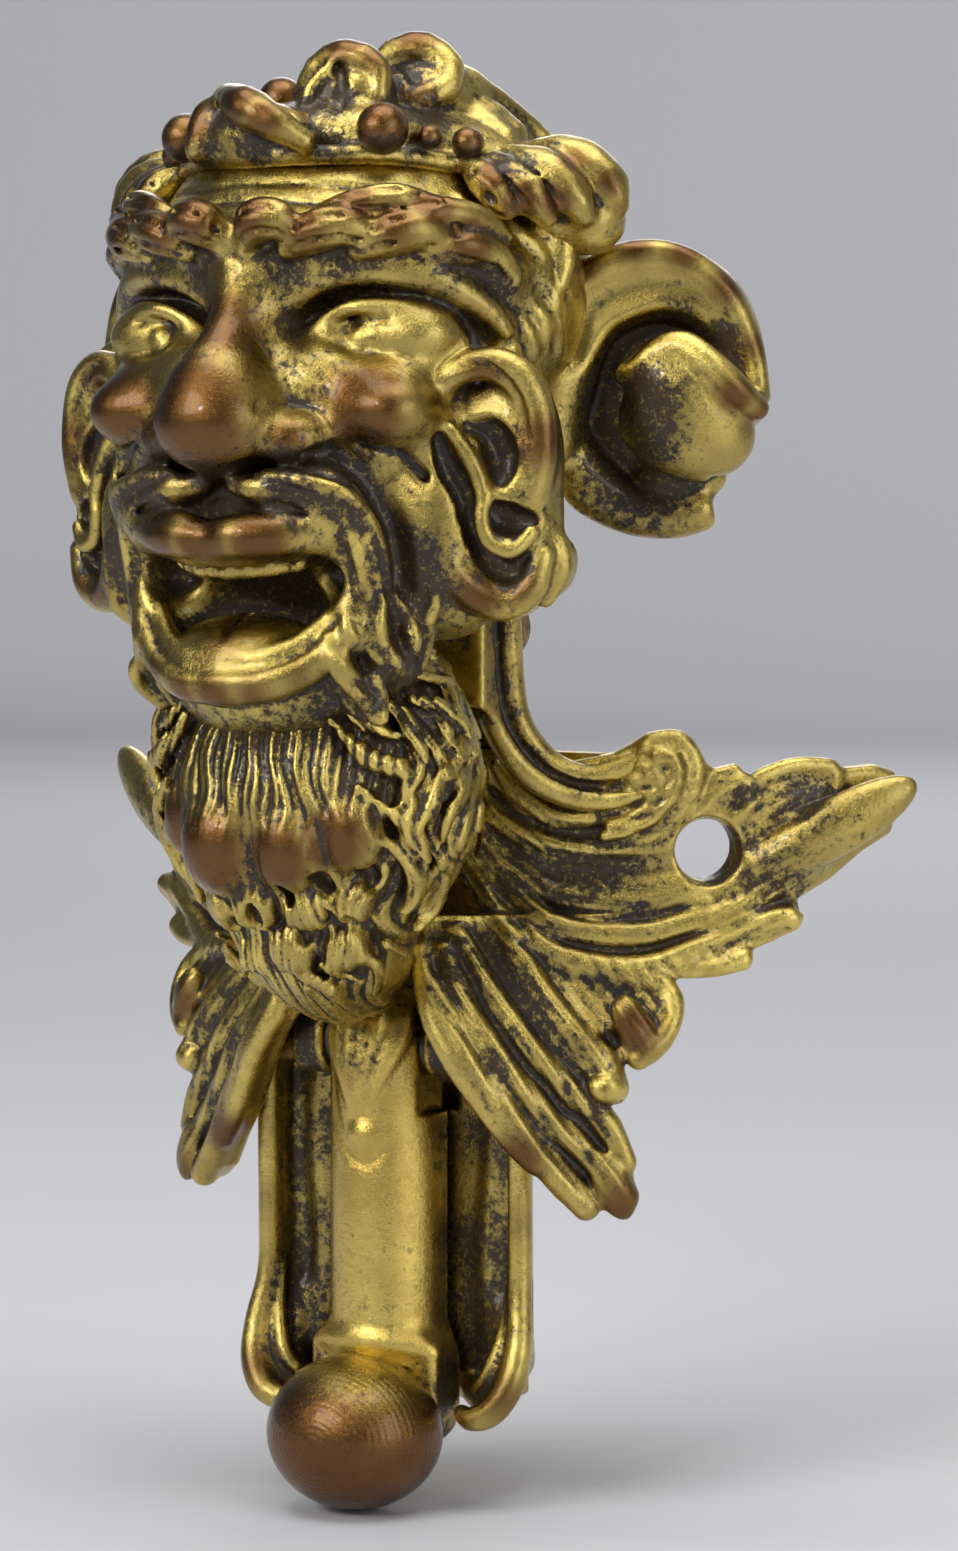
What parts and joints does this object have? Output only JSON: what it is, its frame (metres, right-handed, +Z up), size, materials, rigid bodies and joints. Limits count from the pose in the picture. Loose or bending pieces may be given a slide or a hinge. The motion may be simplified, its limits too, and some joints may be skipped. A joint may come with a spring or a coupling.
{
  "type": "door knocker",
  "caption": "Gilt bronze door knocker: horned laughing mask with vine crown on leaf wings, with a hinged half-round striker below the beard that ends in a ball grip",
  "frame": {"origin": "on the door plane, midway between the two screw holes in the wings", "axes": "+X is to the right of someone who stands in front of the door and looks along +Y at the face; the face looks along -Y and the door is at +Y; +Z is up"},
  "size_m": [0.079, 0.0518, 0.1197],
  "materials": {
    "gilt_bronze": "worn gilding over dark patina",
    "worn_bronze": "gilding rubbed through to reddish bronze",
    "dark_bronze": "plain dark bronze",
    "steel": "plain turned steel"
  },
  "bodies": {
    "plate": {"leaf_plate": "gilt_bronze", "strike_plate": "gilt_bronze", "plate_screws": "dark_bronze", "neck_bracket": "gilt_bronze", "mask": "gilt_bronze", "mask_screws": "dark_bronze", "horn_left": "gilt_bronze", "horn_right": "gilt_bronze", "horn_dowels": "dark_bronze", "vine_wreath": "gilt_bronze", "grapes": "worn_bronze", "wreath_stud": "dark_bronze", "hinge_pin": "steel", "pin_collars": "dark_bronze", "hinge_washers": "steel", "anvil_stud": "dark_bronze"},
    "striker": {"striker": "gilt_bronze", "ball_grip": "worn_bronze", "ball_stud": "dark_bronze", "hammer_stud": "dark_bronze"}
  },
  "joints": [
    {"name": "striker_hinge", "type": "hinge", "parent": "plate", "child": "striker", "pos_m": [0, -0.02103, -0.016], "axis": [-1, 0, 0], "range_deg": [0, 60]}
  ]
}
